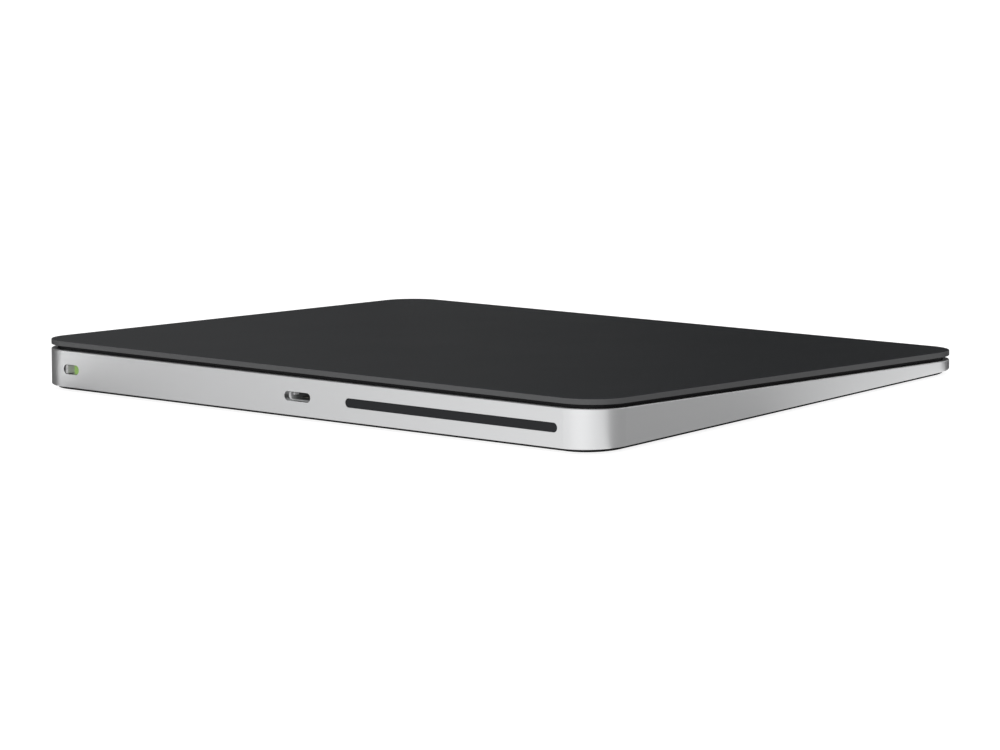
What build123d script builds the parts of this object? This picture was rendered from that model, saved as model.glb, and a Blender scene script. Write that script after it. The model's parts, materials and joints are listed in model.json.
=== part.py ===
from build123d import *
import os
from math import asin, cos, sin, tan

# A wireless trackpad. A glass touch surface on four flat springs lies over a wedge-shaped
# aluminium tray, which holds the battery, the electronics and the magnet that shakes the glass.
# X runs to the user's right, Y to the rear wall, Z up from the desk. Sizes are millimetres.

os.makedirs("parts", exist_ok=True)

# Overall form
surface_width = 160
surface_depth = 114.9
rear_height = 10.9
front_height = 4.9
corner_radius = 8.4

# Layers, counted down from the upper face of the glass
glass_thickness = 1.1
sensor_thickness = 0.35
carrier_thickness = 0.6
rim_gap = 0.8
rim_clearance = 0.35

# Tray, bottom cover and feet
wall = 1.25
floor_thickness = 0.6
foot_height = 0.5
cover_proud = 0.7
cover_inset = 1.35
cover_recess = 0.3
adhesive_thickness = 0.1

# Openings in the rear wall, all centred on one line below the glass
feature_depth = 5.85
port_width = 7.42
port_height = 1.92
window_height = 1.87
window_end_inset = 9.9
window_inner_end = 13.6
slot_width = 4.77
slot_height = 2.05
slot_inset = 11.6

# Clearances and small sizes that several pieces share
fit_gap = 0.03
slide_gap = 0.1
thread_gap = 0.02
overrun = 1.5
small_corner = 0.5
flex_thickness = 0.12
flex_bend = 0.45
flex_end_gap = 0.06

# Plan of the inside. The logic board keeps its distance from the walls, and the magnet unit and
# the touch chips keep theirs from the board
port_bay = 10
board_depth = 12.3
board_left_inset = 22
board_right_inset = 14
haptic_board_gap = 5.03
chip_board_gap = 9.03
sensor_flex_share = -0.282

# The surface leans towards the user, so the tray's walls lean as much to the rear
tilt = asin((rear_height - front_height) / surface_depth)
half_width = surface_width / 2
half_depth = surface_depth / 2
middle_height = (rear_height + front_height) / 2
underside = foot_height + cover_proud
cover_ceiling = underside + cover_recess
floor_top = cover_ceiling + floor_thickness
rim_depth = glass_thickness + rim_gap
carrier_top = glass_thickness + sensor_thickness
carrier_base = carrier_top + carrier_thickness
core_inset = wall + rim_clearance
lean_reach = (rear_height - underside) * tan(tilt)
slot_x = half_width - slot_inset
window_width = half_width - window_end_inset - window_inner_end
window_x = -window_inner_end - window_width / 2

pad = Plane(
    origin=(0, -lean_reach / 2, middle_height),
    x_dir=(1, 0, 0),
    z_dir=(0, -sin(tilt), cos(tilt)),
)
floor_plane = Plane.XY.offset(floor_top)
rear = Plane(
    origin=pad.origin + pad.y_dir * half_depth - pad.z_dir * feature_depth,
    x_dir=(1, 0, 0),
    z_dir=pad.y_dir,
)
pad_axis = Axis(pad.origin, pad.z_dir)
rear_axis = Axis(rear.origin, rear.z_dir)


def plan_y(height):
    """Middle of the tray's plan at a height over the desk"""
    return pad.origin.Y + (middle_height - height) * tan(tilt)


def pad_point(x, back, depth):
    """A point given across, to the rear and down from the middle of the glass's upper face"""
    return pad.origin + pad.x_dir * x + pad.y_dir * back - pad.z_dir * depth


def side_point(back, depth):
    """The same point as seen from the side: its place along Y and its height"""
    point = pad_point(0, back, depth)
    return (point.Y, point.Z)


def pad_spots(depth, places):
    """Locations that face up from a layer under the glass"""
    return [pad.offset(-depth) * Pos(*place) for place in places]


def floor_depth(back):
    """Depth of the tray floor under the glass's upper face, at a distance to the rear"""
    return (middle_height - floor_top) / cos(tilt) + back * tan(tilt)


def columns(plane, places, size):
    """Posts from a plane down into the tray floor, one at each place"""
    with BuildPart() as posts:
        with BuildSketch(plane):
            with Locations(*places):
                RectangleRounded(*size, small_corner)
        extrude(amount=-rear_height)
        split(bisect_by=floor_plane.offset(-floor_thickness / 2), keep=Keep.TOP)
    return posts.part


def screws(seats, head_radius, head_height, shank_radius, shank_length):
    """Cross-head screws whose heads stand on the given seats, as separate solids"""
    tops = [seat * Pos(0, 0, head_height) for seat in seats]
    arm_width = head_radius / 4
    with BuildPart() as group:
        with Locations(*seats):
            Cylinder(head_radius, head_height, align=(Align.CENTER, Align.CENTER, Align.MIN))
            Cylinder(shank_radius, shank_length, align=(Align.CENTER, Align.CENTER, Align.MAX))
        with Locations(*tops):
            Box(head_radius, arm_width, head_height, mode=Mode.SUBTRACT)
            Box(arm_width, head_radius, head_height, mode=Mode.SUBTRACT)
    return group.part


def ribbon(plane, points, width):
    """A flat flexible cable: a bent strip that reaches as far to both sides of a plane"""
    with BuildPart() as strip:
        with BuildSketch(plane):
            with BuildLine():
                FilletPolyline(*points, radius=flex_bend)
            trace(line_width=flex_thickness)
        extrude(amount=width / 2, both=True)
    return strip.part


rear_wall_y = plan_y(floor_top) + (half_depth - wall) / cos(tilt)
board_length = surface_width - board_left_inset - board_right_inset
board_x = (board_left_inset - board_right_inset) / 2
board_y = rear_wall_y - port_bay - board_depth / 2
board_front = board_y - board_depth / 2

# Glass touch surface, with its edges just broken
glass_edge = 0.12

with BuildPart() as glass_surface:
    with BuildSketch(pad):
        RectangleRounded(surface_width, surface_depth, corner_radius)
    extrude(amount=-glass_thickness)
    glass_faces = glass_surface.faces().sort_by(pad_axis)
    fillet(glass_faces[-1].edges() + glass_faces[0].edges(), glass_edge)

glass_surface.part.label = "glass_surface"
export_step(glass_surface.part, "parts/glass_surface.step")

# Touch sensor sheet, bonded to the lower face of the glass
core_width = surface_width - 2 * core_inset
core_depth = surface_depth - 2 * core_inset
core_corner = corner_radius - core_inset

with BuildPart() as sensor_sheet:
    with BuildSketch(pad.offset(-glass_thickness)):
        RectangleRounded(core_width, core_depth, core_corner)
    extrude(amount=-sensor_thickness)

sensor_sheet.part.label = "sensor_sheet"
export_step(sensor_sheet.part, "parts/sensor_sheet.step")

# Flat springs. Each is clamped near a side wall and carries the surface at its inner tip, on a
# soft disc. The strip between is split into two arms, and a strain gauge lies on one of them.
flexure_length = 22
flexure_width = 9
flexure_thickness = 0.4
flexure_side_gap = 3.2
flexure_end_inset = 15.5
flexure_split_length = 8
flexure_split_width = 3
clamp_length = 7
clamp_screw_spread = 5
clamp_screw_radius = 0.5
clamp_head_radius = 1
clamp_head_height = 0.45
clamp_thread = 0.8
isolation_thickness = 0.3
isolation_radius = 3
tip_inset = 3.5
gauge_length = 4
gauge_width = 1.6
gauge_thickness = 0.08

flexure_top = carrier_base + isolation_thickness
flexure_base = flexure_top + flexure_thickness
flexure_outer = half_width - wall - flexure_side_gap
flexure_middle = flexure_outer - flexure_length / 2
flexure_back = half_depth - flexure_end_inset
clamp_middle = flexure_outer - clamp_length / 2
tip_middle = flexure_outer - flexure_length + tip_inset
arm_back = (flexure_width + flexure_split_width) / 4
corners = {
    "front_left": (-1, -1),
    "front_right": (1, -1),
    "rear_left": (-1, 1),
    "rear_right": (1, 1),
}
clamp_places = [(side * clamp_middle, end * flexure_back) for side, end in corners.values()]
tip_places = [(side * tip_middle, end * flexure_back) for side, end in corners.values()]
gauge_places = [
    (side * flexure_middle, end * flexure_back + arm_back) for side, end in corners.values()
]
clamp_screw_places = [
    (x, back + half * clamp_screw_spread / 2) for x, back in clamp_places for half in (-1, 1)
]

for corner, (side, end) in corners.items():
    with BuildPart() as flexure:
        with BuildSketch(pad.offset(-flexure_top)):
            with Locations((side * flexure_middle, end * flexure_back)):
                RectangleRounded(flexure_length, flexure_width, small_corner)
                RectangleRounded(
                    flexure_split_length, flexure_split_width, small_corner, mode=Mode.SUBTRACT
                )
            with Locations(*clamp_screw_places):
                Circle(clamp_screw_radius + slide_gap, mode=Mode.SUBTRACT)
        extrude(amount=-flexure_thickness)
    flexure.part.label = "flexure_" + corner
    export_step(flexure.part, "parts/flexure_" + corner + ".step")

with BuildPart() as isolation_pads:
    with BuildSketch(pad.offset(-carrier_base)):
        with Locations(*tip_places):
            Circle(isolation_radius)
    extrude(amount=-isolation_thickness)

isolation_pads.part.label = "isolation_pads"
export_step(isolation_pads.part, "parts/isolation_pads.step")

with BuildPart() as strain_gauges:
    with BuildSketch(pad.offset(-flexure_top)):
        with Locations(*gauge_places):
            Rectangle(gauge_length, gauge_width)
    extrude(amount=gauge_thickness)

strain_gauges.part.label = "strain_gauges"
export_step(strain_gauges.part, "parts/strain_gauges.step")

clamp_screws = screws(
    pad_spots(flexure_top, clamp_screw_places),
    clamp_head_radius,
    clamp_head_height,
    clamp_screw_radius,
    flexure_thickness + clamp_thread,
)
clamp_screws.label = "clamp_screws"
export_step(clamp_screws, "parts/clamp_screws.step")

# Magnet unit. A comb-shaped iron core with three coils lies on a wedge base, and pulls sideways
# at an armature bar that hangs from the carrier across an air gap.
haptic_width = 26
haptic_length = 25
deck_depth = 5.2
core_height = 2.1
core_end_gap = 2.75
spine_width = 3.5
spine_side_inset = 2
tooth_count = 3
tooth_height = 1.2
tooth_length = 12.5
coil_length = 11
coil_side_wall = 1
coil_gap = 1
coil_overhang = 0.75
coil_end_gap = 0.5
coil_fit = 0.05
air_gap = 0.5
bar_width = 3
bar_foot_gap = 0.5
flange_width = 6.5
flange_thickness = 0.5
armature_screw_inset = 3
haptic_screw_inset = 1.5
haptic_thread = 0.45
small_screw_radius = 0.45
small_head_radius = 0.85
small_head_height = 0.4

haptic_back = board_front - haptic_board_gap - haptic_length / 2
core_length = haptic_length - 2 * core_end_gap
tooth_pitch = (core_length + 2 * coil_overhang) / tooth_count
tooth_width = tooth_pitch - 2 * coil_side_wall - coil_gap
spine_left = spine_side_inset - haptic_width / 2
teeth_left = spine_left + spine_width
bar_left = teeth_left + tooth_length + air_gap
flange_middle = bar_left + flange_width / 2
armature_screw_x = bar_left + (flange_width + bar_width) / 2
armature_screw_places = [
    (armature_screw_x, haptic_back + end * (core_length / 2 - armature_screw_inset))
    for end in (-1, 1)
]
haptic_screw_x = haptic_width / 2 - haptic_screw_inset
haptic_screw_reach = haptic_length / 2 - haptic_screw_inset
haptic_screw_places = [
    (side * haptic_screw_x, haptic_back + end * haptic_screw_reach)
    for end in (-1, 1)
    for side in (-1, 1)
]

with BuildPart() as haptic_base:
    with BuildSketch(pad.offset(-deck_depth)):
        with Locations((0, haptic_back)):
            RectangleRounded(haptic_width, haptic_length, small_corner)
        with Locations(*haptic_screw_places):
            Circle(small_screw_radius + slide_gap, mode=Mode.SUBTRACT)
    extrude(amount=-rear_height)
    split(bisect_by=floor_plane, keep=Keep.TOP)

haptic_base.part.label = "haptic_base"
export_step(haptic_base.part, "parts/haptic_base.step")

with BuildPart() as haptic_core:
    with BuildSketch(pad.offset(-deck_depth)):
        with Locations((spine_left + spine_width / 2, haptic_back)):
            Rectangle(spine_width, core_length)
    extrude(amount=core_height)
    with BuildSketch(pad.offset(-deck_depth + (core_height - tooth_height) / 2)):
        with Locations((teeth_left + tooth_length / 2, haptic_back)):
            with GridLocations(0, tooth_pitch, 1, tooth_count):
                Rectangle(tooth_length, tooth_width)
    extrude(amount=tooth_height)

haptic_core.part.label = "haptic_core"
export_step(haptic_core.part, "parts/haptic_core.step")

coil_plane = Plane(
    origin=pad_point(teeth_left + coil_end_gap, haptic_back, deck_depth - core_height / 2),
    x_dir=pad.y_dir,
    z_dir=(1, 0, 0),
)

with BuildPart() as haptic_coils:
    with BuildSketch(coil_plane):
        with GridLocations(tooth_pitch, 0, tooth_count, 1):
            RectangleRounded(tooth_width + 2 * coil_side_wall, core_height, small_corner)
            Rectangle(
                tooth_width + 2 * coil_fit, tooth_height + 2 * coil_fit, mode=Mode.SUBTRACT
            )
    extrude(amount=coil_length)

haptic_coils.part.label = "haptic_coils"
export_step(haptic_coils.part, "parts/haptic_coils.step")

with BuildPart() as haptic_armature:
    with BuildSketch(pad.offset(-carrier_base)):
        with Locations((bar_left + bar_width / 2, haptic_back)):
            Rectangle(bar_width, core_length)
    extrude(amount=-(deck_depth - bar_foot_gap - carrier_base))
    with BuildSketch(pad.offset(-carrier_base)):
        with Locations((flange_middle, haptic_back)):
            Rectangle(flange_width, core_length)
        with Locations(*armature_screw_places):
            Circle(small_screw_radius + slide_gap, mode=Mode.SUBTRACT)
    extrude(amount=-flange_thickness)

haptic_armature.part.label = "haptic_armature"
export_step(haptic_armature.part, "parts/haptic_armature.step")

# The armature's screws point up into the carrier, so their seats face down
armature_seats = [
    spot * Rot(180, 0, 0)
    for spot in pad_spots(carrier_base + flange_thickness, armature_screw_places)
]
armature_screws = screws(
    armature_seats,
    small_head_radius,
    small_head_height,
    small_screw_radius,
    flange_thickness + carrier_thickness,
)
armature_screws.label = "armature_screws"
export_step(armature_screws, "parts/armature_screws.step")

# The base is thicker at the rear, so its rear screws are longer
with BuildPart() as haptic_screws:
    for place in haptic_screw_places:
        base_thickness = floor_depth(place[1]) - deck_depth
        add(
            screws(
                pad_spots(deck_depth, [place]),
                small_head_radius,
                small_head_height,
                small_screw_radius,
                base_thickness + haptic_thread,
            )
        )

haptic_screws.part.label = "haptic_screws"
export_step(haptic_screws.part, "parts/haptic_screws.step")

# Carrier plate under the sensor, with windows over the clamps and for the touch chips
clamp_window_margin = 1
chip_window_width = 24
chip_window_length = 12
touch_chip_size = 5
touch_chip_gap = 2
touch_chip_thickness = 0.9
touch_chip_count = 3

touch_chip_pitch = touch_chip_size + touch_chip_gap
sensor_flex_x = board_x + sensor_flex_share * board_length
chip_window_x = sensor_flex_x - touch_chip_pitch
chip_window_back = board_front - chip_board_gap - chip_window_length / 2

with BuildPart() as carrier_plate:
    with BuildSketch(pad.offset(-carrier_top)):
        RectangleRounded(core_width, core_depth, core_corner)
        with Locations(*clamp_places):
            RectangleRounded(
                clamp_length + clamp_window_margin,
                flexure_width + clamp_window_margin,
                small_corner,
                mode=Mode.SUBTRACT,
            )
        with Locations((chip_window_x, chip_window_back)):
            RectangleRounded(
                chip_window_width, chip_window_length, small_corner, mode=Mode.SUBTRACT
            )
        with Locations(*armature_screw_places):
            Circle(small_screw_radius + thread_gap, mode=Mode.SUBTRACT)
    extrude(amount=-carrier_thickness)

carrier_plate.part.label = "carrier_plate"
export_step(carrier_plate.part, "parts/carrier_plate.step")

# Touch controller chips and their connector, on the sensor sheet inside the carrier's window
with BuildPart() as touch_chips:
    with BuildSketch(pad.offset(-carrier_top)):
        with Locations((chip_window_x, chip_window_back)):
            with GridLocations(touch_chip_pitch, 0, touch_chip_count, 1):
                Rectangle(touch_chip_size, touch_chip_size)
    extrude(amount=-touch_chip_thickness)

touch_chips.part.label = "touch_chips"
export_step(touch_chips.part, "parts/touch_chips.step")

# Charging socket: a metal shell behind the wall, open to the rear, with a flared mouth. Its
# plug is slim and reversible. Two side springs hold the plug, and eight leaves touch it.
socket_width = 6.8
socket_height = 1.7
socket_corner = 0.7
socket_depth = 7
socket_wall = 0.6
socket_mouth_flare = 0.3
socket_outer_corner = 1.2
insulator_thickness = 1.2
latch_height = 0.75
latch_length = 1.2
latch_inset = 1.05
latch_reach = 0.3
latch_rise = 0.3
contact_count = 8
contact_gap = 0.3
contact_width = 0.4
contact_thickness = 0.12
contact_length = 4.5
contact_drop = 0.6
bracket_thickness = 0.35
bracket_length = 4
bracket_inset = 2
ear_width = 3.6
socket_rest_width = 6
port_thread = 0.9

contact_pitch = contact_width + contact_gap
shell_width = socket_width + 2 * socket_wall
shell_height = socket_height + 2 * socket_wall
shell_front = wall + fit_gap
shell_back = shell_front + socket_depth
latch_thickness = socket_wall + latch_reach
latch_middle = (socket_width + latch_thickness) / 2 - latch_reach
latch_depth = shell_front + latch_inset

with BuildPart() as port_shell:
    with BuildSketch(rear.offset(-shell_front)):
        RectangleRounded(shell_width, shell_height, socket_outer_corner)
        RectangleRounded(socket_width, socket_height, socket_corner, mode=Mode.SUBTRACT)
    extrude(amount=-socket_depth)
    mouth = port_shell.faces().sort_by(rear_axis)[-1]
    chamfer(mouth.inner_wires()[0].edges(), socket_mouth_flare)
    with BuildSketch(rear.offset(-latch_depth)):
        with Locations((-latch_middle, -latch_rise), (latch_middle, -latch_rise)):
            Rectangle(latch_thickness + fit_gap, latch_height + fit_gap)
    extrude(amount=-latch_length - fit_gap, mode=Mode.SUBTRACT)

port_shell.part.label = "port_shell"
export_step(port_shell.part, "parts/port_shell.step")

with BuildPart() as port_latches:
    with BuildSketch(rear.offset(-latch_depth)):
        with Locations((-latch_middle, -latch_rise), (latch_middle, -latch_rise)):
            Rectangle(latch_thickness, latch_height)
    extrude(amount=-latch_length)

port_latches.part.label = "port_latches"
export_step(port_latches.part, "parts/port_latches.step")

with BuildPart() as port_insulator:
    with BuildSketch(rear.offset(-shell_back)):
        RectangleRounded(shell_width, shell_height, socket_outer_corner)
    extrude(amount=-insulator_thickness)

port_insulator.part.label = "port_insulator"
export_step(port_insulator.part, "parts/port_insulator.step")

with BuildPart() as port_contacts:
    with BuildSketch(rear.offset(-shell_back)):
        with Locations((0, contact_drop)):
            with GridLocations(contact_pitch, 0, contact_count, 1):
                Rectangle(contact_width, contact_thickness)
    extrude(amount=contact_length)

port_contacts.part.label = "port_contacts"
export_step(port_contacts.part, "parts/port_contacts.step")

# Strap that presses the socket onto its rest, with an ear and a screw on each side
strap_width = shell_width + 2 * fit_gap + 2 * bracket_thickness
strap_rise = shell_height / 2 + fit_gap + bracket_thickness
ear_x = (strap_width + ear_width) / 2
bracket_front = shell_front + bracket_inset
ear_depth = feature_depth + shell_height / 2
ear_back = half_depth - bracket_front - bracket_length / 2

with BuildPart() as port_bracket:
    with BuildSketch(rear.offset(-bracket_front)):
        with Locations((0, (shell_height / 2 - strap_rise) / 2)):
            Rectangle(strap_width, strap_rise + shell_height / 2)
        with Locations((0, (shell_height - bracket_thickness) / 2)):
            Rectangle(strap_width + 2 * ear_width, bracket_thickness)
        RectangleRounded(
            shell_width + 2 * fit_gap,
            shell_height + 2 * fit_gap,
            socket_outer_corner + fit_gap,
            mode=Mode.SUBTRACT,
        )
    extrude(amount=-bracket_length)
    with Locations(*pad_spots(ear_depth, [(-ear_x, ear_back), (ear_x, ear_back)])):
        Hole(small_screw_radius + slide_gap)

port_bracket.part.label = "port_bracket"
export_step(port_bracket.part, "parts/port_bracket.step")

ear_places = [(-ear_x, ear_back), (ear_x, ear_back)]
port_screws = screws(
    pad_spots(ear_depth - bracket_thickness, ear_places),
    small_head_radius,
    small_head_height,
    small_screw_radius,
    bracket_thickness + port_thread,
)
port_screws.label = "port_screws"
export_step(port_screws, "parts/port_screws.step")

# Power switch. The finger nub stands through its slot on a plate that slides behind the wall.
# With the nub at the outer end the switch is on, and a green marker shows beside it.
nub_width = 0.8
nub_height = 1.75
nub_corner = 0.25
nub_proud = 0.2
nub_edge = 0.12
nub_end_gap = 0.74
nub_groove_radius = 0.6
nub_groove_depth = 0.12
switch_travel = 2.35
plate_gap = 0.5
plate_width = 8
plate_height = 3
plate_thickness = 0.5
peg_size = 1.2
peg_length = 1.6
marker_width = 2.9
marker_height = 2.4
marker_thickness = 0.08
guide_width = 12.9
guide_length = 2.25
guide_screw_inset = 1
guide_thread = 0.8
rail_width = 10
rail_thickness = 0.5
rail_wall_gap = 0.3
leaf_width = 6
leaf_height = 1.6
leaf_thickness = 0.15

nub_x = slot_x + slot_width / 2 - nub_end_gap - nub_width / 2
peg_slot_x = nub_x - switch_travel / 2
plate_front = wall + plate_gap
plate_back = plate_front + plate_thickness
guide_front = plate_back + slide_gap
guide_back = guide_front + guide_length
rail_reach = guide_front - wall - rail_wall_gap
guide_height = plate_height + 2 * (slide_gap + rail_thickness)
guide_middle = half_depth - guide_front - guide_length / 2
guide_screw_reach = guide_width / 2 - guide_screw_inset
guide_screw_places = [(slot_x + side * guide_screw_reach, guide_middle) for side in (-1, 1)]
groove_plane = Plane(
    origin=rear.origin
    + rear.x_dir * nub_x
    + rear.z_dir * (nub_proud + nub_groove_radius - nub_groove_depth),
    x_dir=rear.y_dir,
    z_dir=rear.x_dir,
)

with BuildPart() as switch_slider:
    with BuildSketch(rear.offset(-plate_front)):
        with Locations((nub_x, 0)):
            RectangleRounded(nub_width, nub_height, nub_corner)
    extrude(amount=plate_front + nub_proud)
    fillet(switch_slider.faces().sort_by(rear_axis)[-1].edges(), nub_edge)
    with BuildSketch(groove_plane):
        Circle(nub_groove_radius)
    extrude(amount=nub_width, both=True, mode=Mode.SUBTRACT)
    with BuildSketch(rear.offset(-plate_front)):
        with Locations((nub_x, 0)):
            Rectangle(plate_width, plate_height)
    extrude(amount=-plate_thickness)
    with BuildSketch(rear.offset(-plate_back)):
        with Locations((nub_x, 0)):
            Rectangle(peg_size, peg_size)
    extrude(amount=-peg_length)

switch_slider.part.label = "switch_slider"
export_step(switch_slider.part, "parts/switch_slider.step")

with BuildPart() as switch_marker:
    with BuildSketch(rear.offset(-plate_front)):
        with Locations((nub_x - (nub_width + marker_width) / 2, 0)):
            Rectangle(marker_width, marker_height)
    extrude(amount=marker_thickness)

switch_marker.part.label = "switch_marker"
export_step(switch_marker.part, "parts/switch_marker.step")

with BuildPart() as switch_guide:
    with BuildSketch(rear.offset(-guide_front)):
        with Locations((slot_x, 0)):
            RectangleRounded(guide_width, guide_height, small_corner)
        with Locations((peg_slot_x, 0)):
            Rectangle(
                peg_size + switch_travel + 2 * slide_gap,
                peg_size + 2 * slide_gap,
                mode=Mode.SUBTRACT,
            )
    extrude(amount=-guide_length)
    with BuildSketch(rear.offset(-guide_front)):
        with Locations((slot_x, 0)):
            with GridLocations(0, guide_height - rail_thickness, 1, 2):
                Rectangle(rail_width, rail_thickness)
    extrude(amount=rail_reach)
    with Locations(*pad_spots(feature_depth, guide_screw_places)):
        Hole(small_screw_radius + slide_gap)

switch_guide.part.label = "switch_guide"
export_step(switch_guide.part, "parts/switch_guide.step")

with BuildPart() as switch_spring:
    with BuildSketch(rear.offset(-guide_back)):
        with Locations((peg_slot_x, 0)):
            Rectangle(leaf_width, leaf_height)
    extrude(amount=-leaf_thickness)

switch_spring.part.label = "switch_spring"
export_step(switch_spring.part, "parts/switch_spring.step")

switch_screws = screws(
    pad_spots(feature_depth - guide_height / 2, guide_screw_places),
    small_head_radius,
    small_head_height,
    small_screw_radius,
    guide_height + guide_thread,
)
switch_screws.label = "switch_screws"
export_step(switch_screws, "parts/switch_screws.step")

# Antenna window: a dark plastic strip flush in the rear wall, with a flange behind the wall
window_margin = 1
window_flange = 0.8
antenna_margin = 1.5
antenna_height = 3
antenna_thickness = 0.5

antenna_front = wall + window_flange
antenna_back = antenna_front + antenna_thickness

with BuildPart() as antenna_window:
    with BuildSketch(rear.offset(-wall)):
        with Locations((window_x, 0)):
            SlotOverall(window_width - 2 * fit_gap, window_height - 2 * fit_gap)
    extrude(amount=wall)
    with BuildSketch(rear.offset(-wall)):
        with Locations((window_x, 0)):
            RectangleRounded(
                window_width + 2 * window_margin, window_height + 2 * window_margin, small_corner
            )
    extrude(amount=-window_flange)

antenna_window.part.label = "antenna_window"
export_step(antenna_window.part, "parts/antenna_window.step")

with BuildPart() as antenna_board:
    with BuildSketch(rear.offset(-antenna_front)):
        with Locations((window_x, 0)):
            RectangleRounded(window_width - 2 * antenna_margin, antenna_height, small_corner)
    extrude(amount=-antenna_thickness)

antenna_board.part.label = "antenna_board"
export_step(antenna_board.part, "parts/antenna_board.step")

# Logic board: a long strip on four posts in front of the socket
board_thickness = 0.7
board_standoff = 0.9
board_post = 3
board_screw_left_inset = 3
board_screw_right_inset = 9
board_screw_edge_inset = 2.3
board_thread = 1
connector_width = 4.5
connector_depth = 2
connector_height = 0.9
connector_inset = 1.6
shield_height = 1.3
chip_height = 0.8

board_base = floor_top + board_standoff
board_top = board_base + board_thickness
flex_level = board_top + connector_height + flex_thickness / 2
front_row_y = board_front + connector_inset
rear_row_y = board_y + board_depth / 2 - connector_inset
board_screw_reach = board_depth / 2 - board_screw_edge_inset
board_screw_left = board_x - board_length / 2 + board_screw_left_inset
board_screw_right = board_x + board_length / 2 - board_screw_right_inset
board_screw_places = [
    (x, board_y + end * board_screw_reach)
    for x in (board_screw_left, board_screw_right)
    for end in (-1, 1)
]

with BuildPart() as logic_board:
    with BuildSketch(Plane.XY.offset(board_base)):
        with Locations((board_x, board_y)):
            RectangleRounded(board_length, board_depth, small_corner)
        with Locations(*board_screw_places):
            Circle(small_screw_radius + slide_gap, mode=Mode.SUBTRACT)
    extrude(amount=board_thickness)

logic_board.part.label = "logic_board"
export_step(logic_board.part, "parts/logic_board.step")

board_screws = screws(
    [Pos(x, y, board_top) for x, y in board_screw_places],
    small_head_radius,
    small_head_height,
    small_screw_radius,
    board_thickness + board_thread,
)
board_screws.label = "board_screws"
export_step(board_screws, "parts/board_screws.step")

# Shield cans and bare chips between the two rows of connectors, placed and sized as shares of
# the board
shield_shares = [
    (-0.37, 0, 0.13, 0.5),
    (-0.11, 0, 0.1, 0.55),
    (0.14, 0, 0.19, 0.55),
    (0.33, 0, 0.1, 0.5),
]
chip_shares = [
    (-0.205, 0.1, 0.035, 0.34),
    (0.01, 0, 0.03, 0.3),
    (0.255, 0.05, 0.025, 0.24),
]

with BuildPart() as board_shields:
    with BuildSketch(Plane.XY.offset(board_top)):
        for across, along, width, depth in shield_shares:
            with Locations((board_x + across * board_length, board_y + along * board_depth)):
                RectangleRounded(width * board_length, depth * board_depth, small_corner)
    extrude(amount=shield_height)

board_shields.part.label = "board_shields"
export_step(board_shields.part, "parts/board_shields.step")

with BuildPart() as board_chips:
    with BuildSketch(Plane.XY.offset(board_top)):
        for across, along, width, depth in chip_shares:
            with Locations((board_x + across * board_length, board_y + along * board_depth)):
                Rectangle(width * board_length, depth * board_depth)
    extrude(amount=chip_height)

board_chips.part.label = "board_chips"
export_step(board_chips.part, "parts/board_chips.step")

# Battery: two pouch cells beside the magnet unit, taped to the floor, each with a small
# protection board at its rear edge
cell_depth = 30
cell_thickness = 2.8
cell_side_gap = 3
cell_wall_gap = 8.75
cell_corner = 1.5
tape_thickness = 0.15
tape_side_inset = 4
tape_end_inset = 2.5
tape_depth = 9
cell_board_width = 20
cell_board_depth = 3.2
cell_board_thickness = 0.8
cell_board_gap = 1.2
tab_width = 3
tab_length = 1.8
tab_gap = 0.6
tab_thickness = 0.1

cell_width = half_width - wall - cell_wall_gap - haptic_width / 2 - cell_side_gap
cell_x = haptic_width / 2 + cell_side_gap + cell_width / 2
tape_pitch = cell_depth - tape_depth - 2 * tape_end_inset
tab_pitch = cell_board_width / 2
cell_board_y = board_front - cell_board_gap - cell_board_depth / 2
cell_rear = cell_board_y - cell_board_depth / 2 - tab_gap
cell_y = cell_rear - cell_depth / 2
cell_base = floor_top + tape_thickness
cell_board_top = floor_top + cell_board_thickness

with BuildPart() as battery_tapes:
    with BuildSketch(floor_plane):
        with Locations((0, cell_y)):
            with GridLocations(2 * cell_x, tape_pitch, 2, 2):
                Rectangle(cell_width - 2 * tape_side_inset, tape_depth)
    extrude(amount=tape_thickness)

battery_tapes.part.label = "battery_tapes"
export_step(battery_tapes.part, "parts/battery_tapes.step")

for name, side in (("battery_left", -1), ("battery_right", 1)):
    with BuildPart() as battery_cell:
        with BuildSketch(Plane.XY.offset(cell_base)):
            with Locations((side * cell_x, cell_y)):
                RectangleRounded(cell_width, cell_depth, cell_corner)
        extrude(amount=cell_thickness)
        cell_faces = battery_cell.faces().sort_by(Axis.Z)
        fillet(cell_faces[-1].edges() + cell_faces[0].edges(), small_corner)
        with BuildSketch(Plane.XY.offset(cell_board_top)):
            with Locations((side * cell_x, cell_rear)):
                with GridLocations(tab_pitch, 0, 2, 1):
                    Rectangle(tab_width, 2 * tab_length)
        extrude(amount=tab_thickness)
    battery_cell.part.label = name
    export_step(battery_cell.part, "parts/" + name + ".step")

with BuildPart() as battery_boards:
    with BuildSketch(floor_plane):
        with Locations((0, cell_board_y)):
            with GridLocations(2 * cell_x, 0, 2, 1):
                Rectangle(cell_board_width, cell_board_depth)
    extrude(amount=cell_board_thickness)

battery_boards.part.label = "battery_boards"
export_step(battery_boards.part, "parts/battery_boards.step")

# Ribbon cables to the logic board, each lying on its connector
flex_width = 3.5
flex_step = 1.2
flex_overlap = 0.9
sensor_flex_turn = 2
antenna_flex_inset = 6.4
switch_flex_shift = 4.9
haptic_flex_x = 0
port_flex_x = 0

antenna_flex_x = -window_inner_end - antenna_flex_inset
switch_flex_x = slot_x - switch_flex_shift
connector_places = [
    (-cell_x, front_row_y),
    (cell_x, front_row_y),
    (haptic_flex_x, front_row_y),
    (sensor_flex_x, front_row_y),
    (port_flex_x, rear_row_y),
    (antenna_flex_x, rear_row_y),
    (switch_flex_x, rear_row_y),
]

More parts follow.
